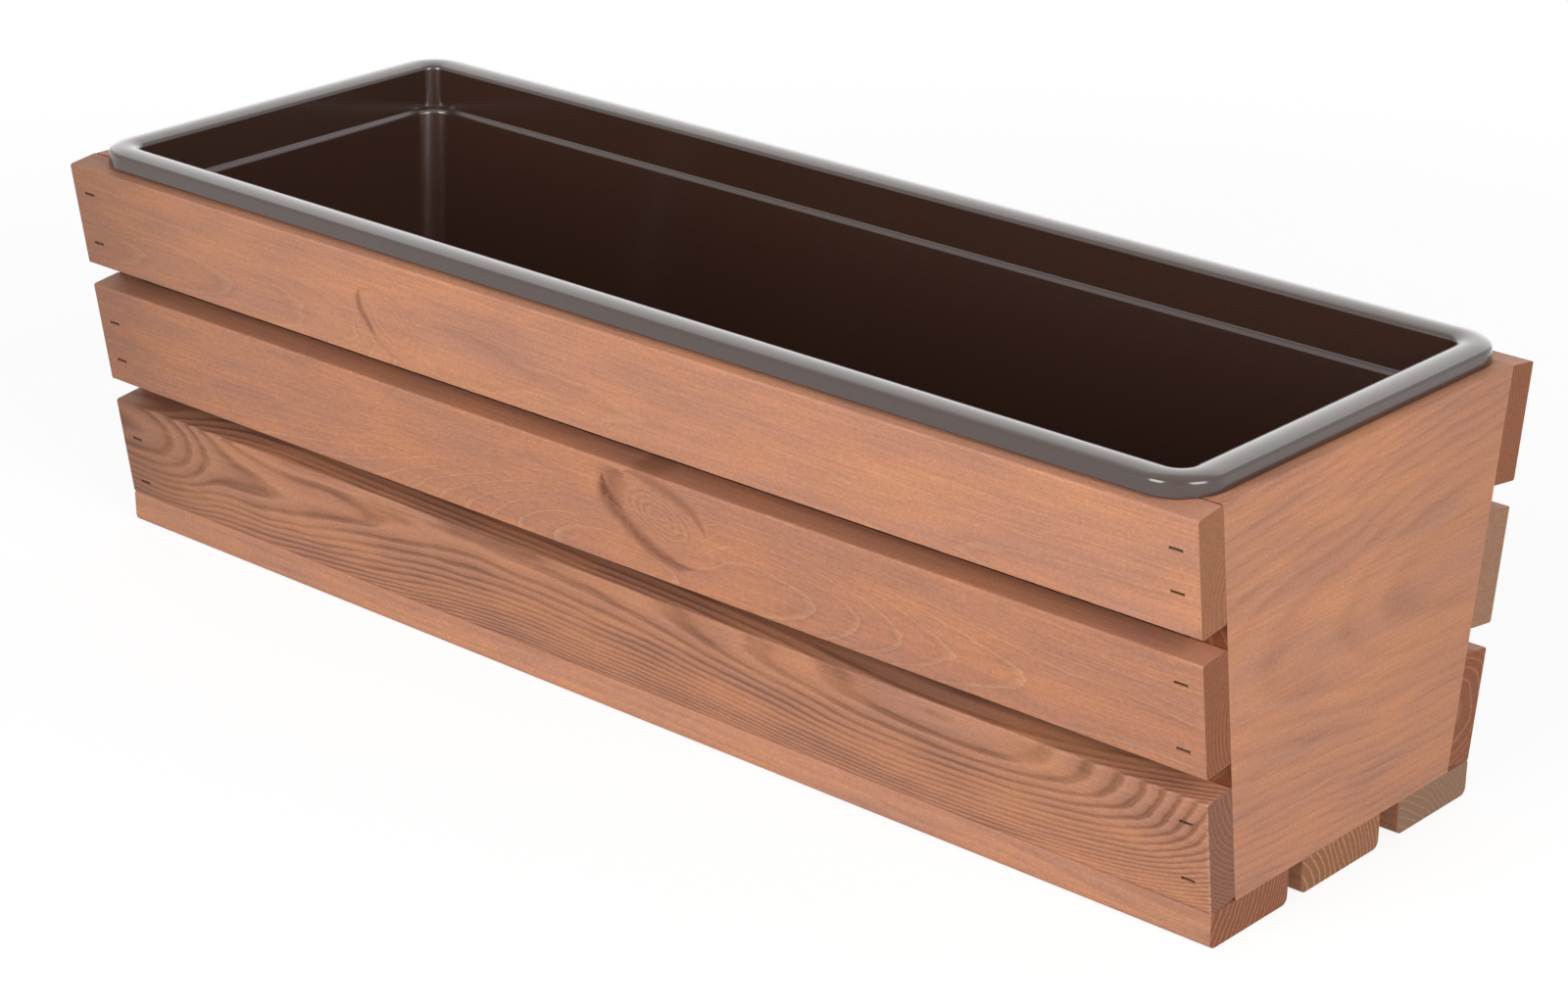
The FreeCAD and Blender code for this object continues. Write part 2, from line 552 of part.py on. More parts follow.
os.makedirs(NODE_DIR, exist_ok=True)
for body in bodies:
    body.Shape.exportStep("%s/%s.step" % (NODE_DIR, body.Label))
    print(body.Label, len(body.Shape.Solids), round(body.Shape.Volume, 1))
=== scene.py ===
import math

import bmesh
import bpy
from mathutils import Matrix, Vector, noise


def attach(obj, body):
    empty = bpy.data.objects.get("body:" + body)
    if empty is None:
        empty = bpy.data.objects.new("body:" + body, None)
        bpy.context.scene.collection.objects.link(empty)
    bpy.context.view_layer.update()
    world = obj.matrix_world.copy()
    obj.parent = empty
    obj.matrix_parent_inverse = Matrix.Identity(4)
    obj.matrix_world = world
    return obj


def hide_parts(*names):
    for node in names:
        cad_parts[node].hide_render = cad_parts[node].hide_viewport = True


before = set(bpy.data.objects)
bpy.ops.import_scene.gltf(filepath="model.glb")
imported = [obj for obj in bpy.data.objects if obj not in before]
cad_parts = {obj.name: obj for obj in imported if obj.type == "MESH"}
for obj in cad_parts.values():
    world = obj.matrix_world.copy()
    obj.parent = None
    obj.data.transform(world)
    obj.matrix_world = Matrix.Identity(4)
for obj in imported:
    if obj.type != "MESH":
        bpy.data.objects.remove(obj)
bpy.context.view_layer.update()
scene = bpy.context.scene
scene.view_settings.view_transform = "Standard"

# --- Camera -----------------------------------------------------------------------------------
# A long lens looks down on the front and the right-hand end. Its place, its angles and its
# centre were fitted to the corners of the boards. The frame is 1600 x 1028.
FRAME_WIDTH, FRAME_HEIGHT = 1600, 1028
FOCAL_PIXELS = 3791.74
CENTRE_PIXELS = (815.08, 674.04)
SENSOR_MM = 36.0
# metres, then degrees: the turn round the vertical, the look down and the tip to one side
CAMERA_PLACE = (0.96126, -1.06201, 0.65154)
TURN, LOOK_DOWN, TIP = 41.311, 24.673, 0.402

lens = bpy.data.cameras.new("camera")
lens.sensor_fit = "HORIZONTAL"
lens.sensor_width = SENSOR_MM
lens.lens = FOCAL_PIXELS * SENSOR_MM / FRAME_WIDTH
lens.shift_x = (FRAME_WIDTH / 2 - CENTRE_PIXELS[0]) / FRAME_WIDTH
lens.shift_y = (CENTRE_PIXELS[1] - FRAME_HEIGHT / 2) / FRAME_WIDTH
camera = bpy.data.objects.new("camera", lens)
camera.matrix_world = (Matrix.Translation(CAMERA_PLACE)
                       @ Matrix.Rotation(math.radians(TURN), 4, "Z")
                       @ Matrix.Rotation(math.radians(90 - LOOK_DOWN), 4, "X")
                       @ Matrix.Rotation(math.radians(TIP), 4, "Z"))
scene.collection.objects.link(camera)
scene.camera = camera

# --- Side slats -------------------------------------------------------------------------------
# Six planed softwood slats, 46.8 x 14.5 mm, dipped in a reddish-brown glaze. They lean out by
# 7.8 degrees, and each end is held to an end panel by two staples, punched in below the wood.
MM = 0.001  # the sizes of the pieces are in millimetres
BOARD_LENGTH = 600.0
SLAT_WIDTH, SLAT_THICKNESS, SLAT_GAP = 46.8, 14.5, 10.1
SLAT_ARRIS, ARRIS_WEAR = 0.8, 0.22
SIDE_TILT = math.radians(7.8)
BASE_WIDTH = 170.0
PANEL_THICKNESS = 16.0
INNER_HALF = BASE_WIDTH / 2 - SLAT_THICKNESS / math.cos(SIDE_TILT)
SLAT_REST = ((SLAT_ARRIS + (SLAT_THICKNESS - SLAT_ARRIS) * math.sin(SIDE_TILT))
             / math.cos(SIDE_TILT) - SLAT_ARRIS)
LEVELS = ["bottom", "middle", "top"]
STAPLE_CROWN, WIRE_WIDTH, WIRE_THICKNESS, STAPLE_SINK = 6.0, 1.2, 0.9, 0.8
KERF_CLEARANCE, KERF_SPLIT = 0.05, 0.7
# the staples stand a little inside the middle of the panel's thickness
STAPLE_X = BOARD_LENGTH / 2 - PANEL_THICKNESS / 2 - 1.5 * WIRE_WIDTH
# heights of the two staples above a slat's lower edge, at its left and its right end
STAPLE_HEIGHTS = {"bottom": {-1: (7.3, 29.2), 1: (11.7, 36.0)},
                  "middle": {-1: (11.5, 29.8), 1: (9.6, 36.7)},
                  "top": {-1: (11.4, 34.6), 1: (16.2, 33.3)}}


def linear(colour):
    """Linear RGBA of an sRGB colour that is written as #rrggbb."""
    parts = [int(colour[index:index + 2], 16) / 255 for index in (1, 3, 5)]
    return [part / 12.92 if part <= 0.04045 else ((part + 0.055) / 1.055) ** 2.4
            for part in parts] + [1.0]


def add_node(tree, kind, inputs=None, **settings):
    """Adds a shader node with its settings. An input is a value, a socket or another node."""
    node = tree.nodes.new("ShaderNode" + kind)
    for key, setting in settings.items():
        setattr(node, key, setting)
    for key, source in (inputs or {}).items():
        if isinstance(source, bpy.types.Node):
            source = source.outputs[0]
        if isinstance(source, bpy.types.NodeSocket):
            tree.links.new(source, node.inputs[key])
        else:
            node.inputs[key].default_value = source
    return node


# the glaze over early wood, over late wood and on end grain
LIGHT, DARK, END = "#c98f72", "#96613f", "#8b5032"
# the thin line at a ring's edge, bark, a knot's wood, late wood on end grain, and saw fuzz
RING_LINE, BARK, KNOT, END_LATE, FUZZ = "#e3b496", "#774733", "#c9967f", "#c99a7c", "#dcb9a2"


def stained_softwood(name, centre, turn, face, length, grain):
    """Pine, planed and glazed: matt, warm reddish brown, with the figure of its growth rings.

    Local x runs along the grain and z across the face, in millimetres. The pith wanders past the
    board: depth and height are its curves along the grain, as (share of the length, millimetres).
    Each further ring_area of squared distance from the pith is one ring, so rings grow narrower
    outwards. Contrast and pale_lines are how strongly rings show, sway is how far they wander,
    and tone darkens or lightens the wood along the board. A knot has its middle, its half
    axes, the lean of its long axis, the rings it lifts and has, and bark pockets, each as
    (bearing from the long axis, distance in half axes, width, spread in degrees, strength).
    """
    material = bpy.data.materials.new(name)
    material.use_nodes = True
    tree = material.node_tree
    tree.nodes.clear()
    seed = grain["seed"]
    where = add_node(tree, "TexCoord")
    local = add_node(tree, "Mapping", {"Vector": where.outputs["Object"], "Location": centre,
                                       "Rotation": turn, "Scale": (MM, MM, MM)},
                     vector_type="TEXTURE")
    x = add_node(tree, "SeparateXYZ", {0: local}).outputs["X"]
    along = add_node(tree, "MapRange", {"Value": x, "From Min": -length / 2,
                                        "From Max": length / 2})
    paths = []
    for points, middle, span in ((grain["depth"], 0.0, 200.0), (grain["height"], 0.0, 200.0),
                                 (grain.get("tone", [(0, 1.0), (1, 1.0)]), 1.0, 1.0)):
        curve = add_node(tree, "FloatCurve", {"Value": along})
        spots = curve.mapping.curves[0].points
        levels = [(share, (level - middle) / span + 0.5) for share, level in points]
        spots[0].location, spots[1].location = levels[0], levels[-1]
        for level in levels[1:-1]:
            spots.new(*level)
        curve.mapping.update()
        paths.append(add_node(tree, "Math", {0: curve, 1: span, 2: middle - span / 2},
                              operation="MULTIPLY_ADD"))
    # the third curve is the tone along the board; on the front slats it is painted shade, darker
    # towards the left end
    pith_depth, pith_height, tone_and_painted_shade = paths
    # the rings sway by about a millimetre over some centimetres of length
    stretched = add_node(tree, "VectorMath", {0: local, 1: (1 / 70, 1 / 18, 1 / 18),
                                              2: (seed, seed * 0.7, seed * 1.3)},
                         operation="MULTIPLY_ADD")
    warp = add_node(tree, "TexNoise", {"Vector": stretched, "Scale": 1.0, "Detail": 3.0,
                                       "Roughness": 0.5})
    sway = grain.get("sway", 7.0)
    swayed = add_node(tree, "VectorMath", {0: warp.outputs["Color"], 1: (0.0, sway, sway),
                                           2: (0.0, -sway / 2, -sway / 2)},
                      operation="MULTIPLY_ADD")
    pith = add_node(tree, "CombineXYZ", {"Y": pith_depth, "Z": pith_height})
    pith = add_node(tree, "VectorMath", {0: pith, 1: (0.0, float(face), -1.0)},
                    operation="MULTIPLY")
    spoke = add_node(tree, "VectorMath", {0: local, 1: (0.0, 1.0, 1.0), 2: pith},
                     operation="MULTIPLY_ADD")
    spoke = add_node(tree, "VectorMath", {0: spoke, 1: swayed}, operation="ADD")
    square = add_node(tree, "VectorMath", {0: spoke, 1: spoke},
                      operation="DOT_PRODUCT").outputs["Value"]
    phase = add_node(tree, "Math", {0: square, 1: grain["ring_area"]}, operation="DIVIDE")
    # a knot lifts the rings round it, has rings of its own, and dark bark pockets at its edge;
    # its outline is bent by up to 2.5 mm over about a centimetre
    close = add_node(tree, "VectorMath", {0: local, "Scale": 0.09}, operation="SCALE")
    wobble = add_node(tree, "TexNoise", {"Vector": close, "Scale": 1.0, "Detail": 2.0})
    bent = add_node(tree, "VectorMath", {0: wobble.outputs["Color"], 1: (5.0, 0.0, 5.0),
                                         2: (-2.5, 0.0, -2.5)}, operation="MULTIPLY_ADD")
    bent = add_node(tree, "VectorMath", {0: bent, 1: local}, operation="ADD")
    shadow, knot_wood, knot_rings = 0.0, 0.0, []
    for knot in grain.get("knots", []):
        spot = add_node(tree, "Mapping", {"Vector": bent, "Location": (knot["x"], 0.0, knot["z"]),
                                          "Rotation": (0.0, math.radians(knot["lean"]), 0.0),
                                          "Scale": (knot["half"][0], 1000.0, knot["half"][1])},
                        vector_type="TEXTURE")
        reach = add_node(tree, "VectorMath", {0: spot}, operation="LENGTH").outputs["Value"]
        fade = add_node(tree, "Math", {0: reach, 1: reach}, operation="MULTIPLY")
        fade = add_node(tree, "Math", {0: math.exp(-0.45), 1: fade}, operation="POWER")
        phase = add_node(tree, "Math", {0: fade, 1: knot["lift"], 2: phase},
                         operation="MULTIPLY_ADD")
        body = add_node(tree, "MapRange", {"Value": reach, "From Min": 1.3, "From Max": 0.9},
                        interpolation_type="SMOOTHSTEP")
        knot_rings.append((body, add_node(tree, "Math", {0: reach, 1: knot["rings"]},
                                          operation="MULTIPLY")))
        knot_wood = add_node(tree, "Math", {0: body, 1: knot["pale"], 2: knot_wood},
                             operation="MULTIPLY_ADD")
        heading = add_node(tree, "VectorMath", {0: spot}, operation="NORMALIZE")
        for angle, distance, width, spread, strength in knot["pockets"]:
            toward = (math.cos(math.radians(angle)), 0.0, math.sin(math.radians(angle)))
            aim = add_node(tree, "VectorMath", {0: heading, 1: toward},
                           operation="DOT_PRODUCT").outputs["Value"]
            side = add_node(tree, "MapRange", {"Value": aim, "From Max": 1.0,
                                               "From Min": math.cos(math.radians(spread))},
                            interpolation_type="SMOOTHSTEP")
            thin = add_node(tree, "Math", {0: side, 1: width}, operation="MULTIPLY")
            off = add_node(tree, "Math", {0: reach, 1: distance}, operation="SUBTRACT")
            off = add_node(tree, "Math", {0: off}, operation="ABSOLUTE")
            inside = add_node(tree, "MapRange", {"Value": off, "From Min": thin, "From Max": 0.0},
                              interpolation_type="SMOOTHSTEP")
            shadow = add_node(tree, "Math", {0: inside, 1: strength, 2: shadow},
                              operation="MULTIPLY_ADD")
    # one ring: from the late wood of the last to pale early wood, then slowly to late wood
    step = add_node(tree, "Math", {0: phase}, operation="FRACT")
    for body, turns in knot_rings:
        turns = add_node(tree, "Math", {0: turns}, operation="FRACT")
        away = add_node(tree, "Math", {0: turns, 1: step}, operation="SUBTRACT")
        step = add_node(tree, "Math", {0: away, 1: body, 2: step}, operation="MULTIPLY_ADD")
    ring = add_node(tree, "ValToRGB", {0: step})
    ring.color_ramp.interpolation = "EASE"
    for index, (spot, level) in enumerate(((0.0, 0.75), (0.22, 0.05), (0.6, 0.3), (0.9, 1.0))):
        stop = (ring.color_ramp.elements[index] if index < 2
                else ring.color_ramp.elements.new(spot))
        stop.position = spot
        stop.color = (level, level, level, 1.0)
    # the glaze soaks in unevenly, in patches some centimetres long
    patch_at = add_node(tree, "VectorMath", {0: local, 1: (1 / 60, 1 / 12, 1 / 12),
                                             2: (seed * 2, seed, seed * 3)},
                        operation="MULTIPLY_ADD")
    patches = add_node(tree, "TexNoise", {"Vector": patch_at, "Scale": 1.0, "Detail": 4.0,
                                          "Roughness": 0.55})
    uneven = add_node(tree, "MapRange", {"Value": patches, "From Min": 0.3, "From Max": 0.7,
                                         "To Min": 1.25, "To Max": 0.45})
    ring_tone = add_node(tree, "Math", {0: ring, 1: grain["contrast"]}, operation="MULTIPLY")
    ring_tone = add_node(tree, "Math", {0: ring_tone, 1: uneven}, operation="MULTIPLY")
    knot_tone = add_node(tree, "Math", {0: knot_wood, 1: ring}, operation="MULTIPLY")
    ring_tone = add_node(tree, "Math", {0: knot_tone, 1: 1.5, 2: ring_tone},
                         operation="MULTIPLY_ADD")
    wood = add_node(tree, "MixRGB", {"Fac": ring_tone, "Color1": linear(grain.get("light", LIGHT)),
                                     "Color2": linear(grain.get("dark", DARK))})
    # the edge of each ring dries as a thin pale line
    pale_line = add_node(tree, "MapRange", {"Value": step, "From Min": 0.8, "From Max": 1.0,
                                            "To Max": grain.get("pale_lines", 0.0)})
    wood = add_node(tree, "MixRGB", {"Fac": pale_line, "Color1": wood,
                                     "Color2": linear(RING_LINE)})
    # where more glaze soaked in, the wood is a little darker and cooler
    patch = add_node(tree, "MapRange", {"Value": patches, "From Min": 0.33, "From Max": 0.67})
    soaked = add_node(tree, "MixRGB", {"Fac": patch, "Color1": (0.9, 0.91, 1.0, 1.0),
                                       "Color2": (1.1, 1.05, 0.92, 1.0)})
    wood = add_node(tree, "MixRGB", {"Fac": 1.0, "Color1": wood, "Color2": soaked},
                    blend_type="MULTIPLY")
    # fibres: streaks about 1 mm wide and some centimetres long, and short flecks a millimetre
    # wide, which is as coarse as they need to be to show
    fibre_at = add_node(tree, "VectorMath", {0: local, 1: (1 / 40, 0.9, 0.9),
                                             2: (seed, seed, seed)}, operation="MULTIPLY_ADD")
    fibres = add_node(tree, "TexNoise", {"Vector": fibre_at, "Scale": 1.0, "Detail": 3.0,
                                         "Roughness": 0.6})
    fleck_at = add_node(tree, "VectorMath", {0: local, 1: (0.6, 1.0, 1.0),
                                             2: (seed, seed, seed)}, operation="MULTIPLY_ADD")
    flecks = add_node(tree, "TexNoise", {"Vector": fleck_at, "Scale": 1.0, "Detail": 2.0,
                                         "Roughness": 0.7})
    torn = add_node(tree, "MapRange", {"Value": flecks, "From Min": 0.3, "From Max": 0.7,
                                       "To Min": 0.45, "To Max": 1.1})
    shadow = add_node(tree, "Math", {0: shadow, 1: torn}, operation="MULTIPLY")
    wood = add_node(tree, "MixRGB", {"Fac": shadow, "Color1": wood,
                                     "Color2": linear(BARK)}, use_clamp=True)
    knot_pale = add_node(tree, "Math", {0: knot_wood, 1: 0.5}, operation="MULTIPLY")
    wood = add_node(tree, "MixRGB", {"Fac": knot_pale, "Color1": wood,
                                     "Color2": linear(KNOT)}, use_clamp=True)
    streak = add_node(tree, "MapRange", {"Value": fibres, "From Min": 0.3, "From Max": 0.7,
                                         "To Min": 0.91, "To Max": 1.09})
    fleck = add_node(tree, "MapRange", {"Value": flecks, "From Min": 0.3, "From Max": 0.7,
                                        "To Min": 0.88, "To Max": 1.12})
    # streaks, flecks and the tone along the board, which on the front slats is painted shade
    # towards the left end
    for tone in (streak, fleck, tone_and_painted_shade):
        wood = add_node(tree, "MixRGB", {"Fac": 1.0, "Color1": wood, "Color2": tone},
                        blend_type="MULTIPLY")
    # end grain drinks the glaze and dries darker, with pale late wood and the marks of the saw
    axis = Matrix.Rotation(turn[2], 3, "Z") @ Vector((1, 0, 0))
    facing = add_node(tree, "VectorMath", {0: where.outputs["Normal"], 1: axis},
                      operation="DOT_PRODUCT").outputs["Value"]
    facing = add_node(tree, "Math", {0: facing}, operation="ABSOLUTE")
    end = add_node(tree, "MapRange", {"Value": facing, "From Min": 0.75, "From Max": 0.9})
    saw_at = add_node(tree, "VectorMath", {0: local, 1: (0.1, 0.35, 1.9),
                                           2: (seed, seed, seed)}, operation="MULTIPLY_ADD")
    saw = add_node(tree, "TexNoise", {"Vector": saw_at, "Scale": 1.0, "Detail": 3.0,
                                      "Roughness": 0.65})
    late = add_node(tree, "MapRange", {"Value": step, "From Min": 0.3, "From Max": 0.02})
    late = add_node(tree, "Math", {0: late, 1: grain.get("end_rings", 0.3)},
                    operation="MULTIPLY")
    cut = add_node(tree, "MixRGB", {"Fac": late, "Color1": linear(grain.get("end", END)),
                                    "Color2": linear(END_LATE)})
    saw_tone = add_node(tree, "MapRange", {"Value": saw, "From Min": 0.3, "From Max": 0.7,
                                           "To Min": 0.8, "To Max": 1.2})
    cut = add_node(tree, "MixRGB", {"Fac": 1.0, "Color1": cut, "Color2": saw_tone},
                   blend_type="MULTIPLY")
    wood = add_node(tree, "MixRGB", {"Fac": end, "Color1": wood, "Color2": cut})
    # the saw leaves pale fuzz on the last millimetre and a half of some ends
    brink = add_node(tree, "MapRange", {"Value": x, "From Min": length / 2 - 1.6,
                                        "From Max": length / 2 - 0.2})
    fuzz = add_node(tree, "MapRange", {"Value": saw, "From Min": 0.5, "From Max": 0.62,
                                       "To Max": grain.get("fuzz", 0.0)})
    fuzz = add_node(tree, "Math", {0: fuzz, 1: brink}, operation="MULTIPLY")
    fuzz = add_node(tree, "MapRange", {"Value": end, "From Min": 1.0, "From Max": 0.5,
                                       "To Max": fuzz})
    wood = add_node(tree, "MixRGB", {"Fac": fuzz, "Color1": wood, "Color2": linear(FUZZ)})
    relief = add_node(tree, "Math", {0: fibres, 1: 0.6, 2: ring_tone}, operation="MULTIPLY_ADD")
    relief = add_node(tree, "Math", {0: saw, 1: end, 2: relief}, operation="MULTIPLY_ADD")
    bump = add_node(tree, "Bump", {"Height": relief, "Strength": 0.3, "Distance": 0.15 * MM})
    rough = add_node(tree, "MapRange", {"Value": fibres, "To Min": 0.5, "To Max": 0.68})
    shader = add_node(tree, "BsdfPrincipled", {"Base Color": wood, "Roughness": rough,
                                               "Normal": bump, "IOR": 1.5,
                                               "Specular IOR Level": 0.3})
    add_node(tree, "OutputMaterial", {"Surface": shader})
    return material


def finish_piece(name, bm, material, node, body):
    """Turns a bmesh in metres into a piece that stands for its CAD node."""
    mesh = bpy.data.meshes.new(name)
    bm.to_mesh(mesh)
    bm.free()
    mesh.materials.append(material)
    piece = bpy.data.objects.new(name, mesh)
    scene.collection.objects.link(piece)
    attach(piece, body)
    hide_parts(node)
    return piece


def planed_board(length, thickness, width, low_radius, high_radius, seed):
    """Planed board with X along it and Z across it: rounded arrises, worn a little by handling."""
    bm = bmesh.new()
    bmesh.ops.create_cube(bm, size=1.0)
    bmesh.ops.scale(bm, vec=(length, thickness, width), verts=bm.verts)
    for sign, radius in ((-1, low_radius), (1, high_radius)):
        arrises = [edge for edge in bm.edges
                   if abs(edge.verts[0].co.x - edge.verts[1].co.x) > length / 2
                   and edge.verts[0].co.z * sign > 0]
        bmesh.ops.bevel(bm, geom=arrises, offset=radius, segments=4, profile=0.5,
                        affect="EDGES", material=-1)
    station = 5.0
    place = -length / 2 + station
    while place < length / 2 - station / 2:
        bmesh.ops.bisect_plane(bm, geom=bm.verts[:] + bm.edges[:] + bm.faces[:],
                               plane_co=(place, 0, 0), plane_no=(1, 0, 0))
        place += station
    for vert in bm.verts:
        on_arris = (abs(vert.co.y) > thickness / 2 - 0.9 * high_radius
                    and abs(vert.co.z) > width / 2 - 0.9 * high_radius)
        if on_arris:
            wear = noise.noise(Vector((vert.co.x / 7 + seed, vert.co.y, vert.co.z))) * 0.5 + 0.5
            inward = Vector((0, -vert.co.y, -vert.co.z)).normalized()
            vert.co += inward * ARRIS_WEAR * wear
    return bm


def cut_staple_slots(piece, seat, spots, turn):
    """Cuts the slots over the staple crowns: the punch splits the wood to a point at both ends."""
    half, above = STAPLE_CROWN / 2 + KERF_CLEARANCE, 0.5
    depth = above + STAPLE_SINK + WIRE_THICKNESS + KERF_CLEARANCE
    bm = bmesh.new()
    for spot in spots:
        ring = bmesh.ops.create_circle(bm, cap_ends=True, segments=6, radius=1.0)["verts"]
        for vert in ring:
            at_tip = abs(vert.co.y) < 0.1
            side_y = math.copysign(WIRE_WIDTH / 2 + KERF_CLEARANCE, vert.co.y)
            vert.co = (math.copysign(half + (KERF_SPLIT if at_tip else 0.0), vert.co.x),
                       0.0 if at_tip else side_y, above)
        grown = bmesh.ops.extrude_face_region(bm, geom=[ring[0].link_faces[0]])["geom"]
        low = [item for item in grown if isinstance(item, bmesh.types.BMVert)]
        bmesh.ops.translate(bm, vec=(0, 0, -depth), verts=low)
        bmesh.ops.transform(bm, matrix=seat @ Matrix.Translation(spot) @ turn, verts=ring + low)
    bmesh.ops.recalc_face_normals(bm, faces=bm.faces)
    mesh = bpy.data.meshes.new("slot_cutter")
    bm.to_mesh(mesh)
    bm.free()
    cutter = bpy.data.objects.new("slot_cutter", mesh)
    scene.collection.objects.link(cutter)
    slots = piece.modifiers.new("slots", "BOOLEAN")
    slots.operation = "DIFFERENCE"
    slots.solver = "EXACT"
    slots.object = cutter
    bpy.context.view_layer.update()
    cut_mesh = bpy.data.meshes.new_from_object(
        piece.evaluated_get(bpy.context.evaluated_depsgraph_get()))
    piece.modifiers.clear()
    piece.data = cut_mesh
    bpy.data.objects.remove(cutter)


def slat_centre(side, level):
    """Middle of a slat, in millimetres, as the CAD places it."""
    up = SLAT_REST + LEVELS.index(level) * (SLAT_WIDTH + SLAT_GAP) + SLAT_WIDTH / 2
    out = SLAT_THICKNESS / 2
    return Vector((0.0, side * (INNER_HALF + up * math.sin(SIDE_TILT) + out * math.cos(SIDE_TILT)),
                   SLAT_THICKNESS + up * math.cos(SIDE_TILT) - out * math.sin(SIDE_TILT)))


# painted shade: the front slats darken towards their left end, and tone paints that shade into the
# wood's colour
SLAT_GRAIN = {
    # faint figure, one pointed loop near the left end and a knot with a bark pocket beside it
    ("front", "top"): dict(
        depth=[(0, 15), (0.13, 19), (0.2, 21), (0.35, 26), (0.6, 30), (1, 27)],
        height=[(0, -11), (0.2, -12), (0.5, -8), (0.75, -14), (1, -19)], ring_area=150.0,
        contrast=0.24, pale_lines=0.3, sway=3.5, seed=3.1, end="#9a6443",
        tone=[(0, 0.6), (0.04, 0.67), (0.085, 0.77), (0.15, 0.88), (0.3, 0.97), (0.5, 1.0),
              (1, 1.06)],
        knots=[dict(x=-103.0, z=-3.0, half=(18.0, 12.0), lean=35, lift=2.2, pale=0.1, rings=4.0,
                    pockets=[(222, 1.05, 0.2, 46, 0.8), (275, 1.15, 0.2, 45, 0.25)]),
               dict(x=-30.0, z=-20.0, half=(3.0, 2.2), lean=0, lift=0.3, pale=0.0, rings=0.5,
                    pockets=[(90, 0.0, 1.0, 180, 0.35)])]),
    # the big knot, then a long pointed loop to its right
    ("front", "middle"): dict(
        depth=[(0, 40), (0.3, 36), (0.5, 24), (0.67, 26), (0.8, 33), (1, 36)],
        height=[(0, -34), (0.4, -24), (0.67, -11), (1, -11)], ring_area=150.0,
        contrast=0.24, pale_lines=0.38, sway=2.2, seed=7.7, light="#c3886b",
        tone=[(0, 0.66), (0.04, 0.74), (0.085, 0.84), (0.15, 0.93), (0.5, 1.0), (1, 1.0)],
        knots=[dict(x=40.0, z=6.0, half=(19.0, 10.0), lean=22, lift=4.0, pale=0.4, rings=4.6,
                    pockets=[(250, 1.65, 0.6, 70, 0.9), (88, 1.42, 0.45, 60, 0.6),
                             (187, 1.35, 0.6, 45, 0.7)])]),
    # strong figure: nested loops at the left end, fine lines along the middle, and lines that
    # fan out upwards to the right end, where the saw left fuzz
    ("front", "bottom"): dict(
        depth=[(0, -6), (0.033, -1), (0.058, 5), (0.08, 10), (0.1, 14), (0.16, 17.3), (0.22, 19),
               (0.5, 19), (0.67, 12), (0.78, 6.5), (0.87, 9), (1, 29)],
        height=[(0, 14), (0.083, 10), (0.16, 7), (0.27, 14), (0.43, 22), (0.5, 22), (0.67, 20),
                (0.78, 20), (1, 24)], ring_area=150.0,
        contrast=1.0, pale_lines=0.15, seed=12.4, sway=4.0, fuzz=0.9, light="#c58d70",
        dark="#8d5a3f", end="#875743",
        tone=[(0, 0.6), (0.04, 0.7), (0.085, 0.84), (0.15, 0.96), (0.5, 0.98), (1, 1.05)]),
    ("rear", "top"): dict(
        depth=[(0, 50), (0.4, 30), (1, 60)], height=[(0, 10), (0.5, 0), (1, 5)],
        ring_area=180.0, contrast=0.4, seed=21.0),
    ("rear", "middle"): dict(
        depth=[(0, 20), (0.5, 45), (1, 60)], height=[(0, 0), (0.5, -5), (1, 10)],
        ring_area=170.0, contrast=0.5, seed=25.5, end="#9c7359"),
    ("rear", "bottom"): dict(
        depth=[(0, 60), (0.7, 35), (1, 10)], height=[(0, 10), (0.5, 5), (1, 0)],
        ring_area=160.0, contrast=0.6, seed=31.2),
}

for (side_name, level), grain in SLAT_GRAIN.items():
    side = -1 if side_name == "front" else 1
    node_name = "%s_slat_%s" % (side_name, level)
    centre = slat_centre(side, level)
    tilt = -side * SIDE_TILT
    wood = stained_softwood("glazed_pine_" + node_name, centre * MM, (tilt, 0, 0), side,
                            BOARD_LENGTH, grain)
    bm = planed_board(BOARD_LENGTH, SLAT_THICKNESS, SLAT_WIDTH, SLAT_ARRIS, SLAT_ARRIS,
                      grain["seed"])
    seat = Matrix.Scale(MM, 4) @ Matrix.Translation(centre) @ Matrix.Rotation(tilt, 4, "X")
    bm.transform(seat)
    piece = finish_piece("slat_%s_%s" % (side_name, level), bm, wood, node_name, "trough")
    spots = [Vector((end * STAPLE_X, side * SLAT_THICKNESS / 2, height - SLAT_WIDTH / 2))
             for end, heights in STAPLE_HEIGHTS[level].items() for height in heights]
    cut_staple_slots(piece, seat, spots, Matrix.Rotation(math.radians(-side * 90), 4, "X"))

# --- End panels -------------------------------------------------------------------------------
# Two solid softwood boards, 16 mm thick, cut to a trapezoid with the grain across. The slats and
# the battens are stapled to their edges, and only the two long edges on top are eased.
PANEL_ARRIS = 1.0
SLOPE_LENGTH = SLAT_REST + len(LEVELS) * SLAT_WIDTH + (len(LEVELS) - 1) * SLAT_GAP
PANEL_HEIGHT = SLOPE_LENGTH * math.cos(SIDE_TILT)
TOP_HALF = INNER_HALF + SLOPE_LENGTH * math.sin(SIDE_TILT)
PANEL_GRAIN = {
    "left": dict(depth=[(0, 25), (0.5, 38), (1, 45)], height=[(0, -14), (1, 6)],
                 ring_area=520.0, contrast=0.26, seed=39.0, light="#c48b6d", dark="#935c3d"),
    "right": dict(depth=[(0, 38), (0.17, 34), (0.44, 26), (0.61, 16), (0.92, 4), (1, 2)],
                  height=[(0, 8), (0.5, 10), (1, 12)], ring_area=600.0, contrast=0.26,
                  seed=41.0, sway=9.0, light="#c48b6d", dark="#935c3d",
                  tone=[(0, 1.03), (0.5, 1.0), (1, 0.96)]),
}

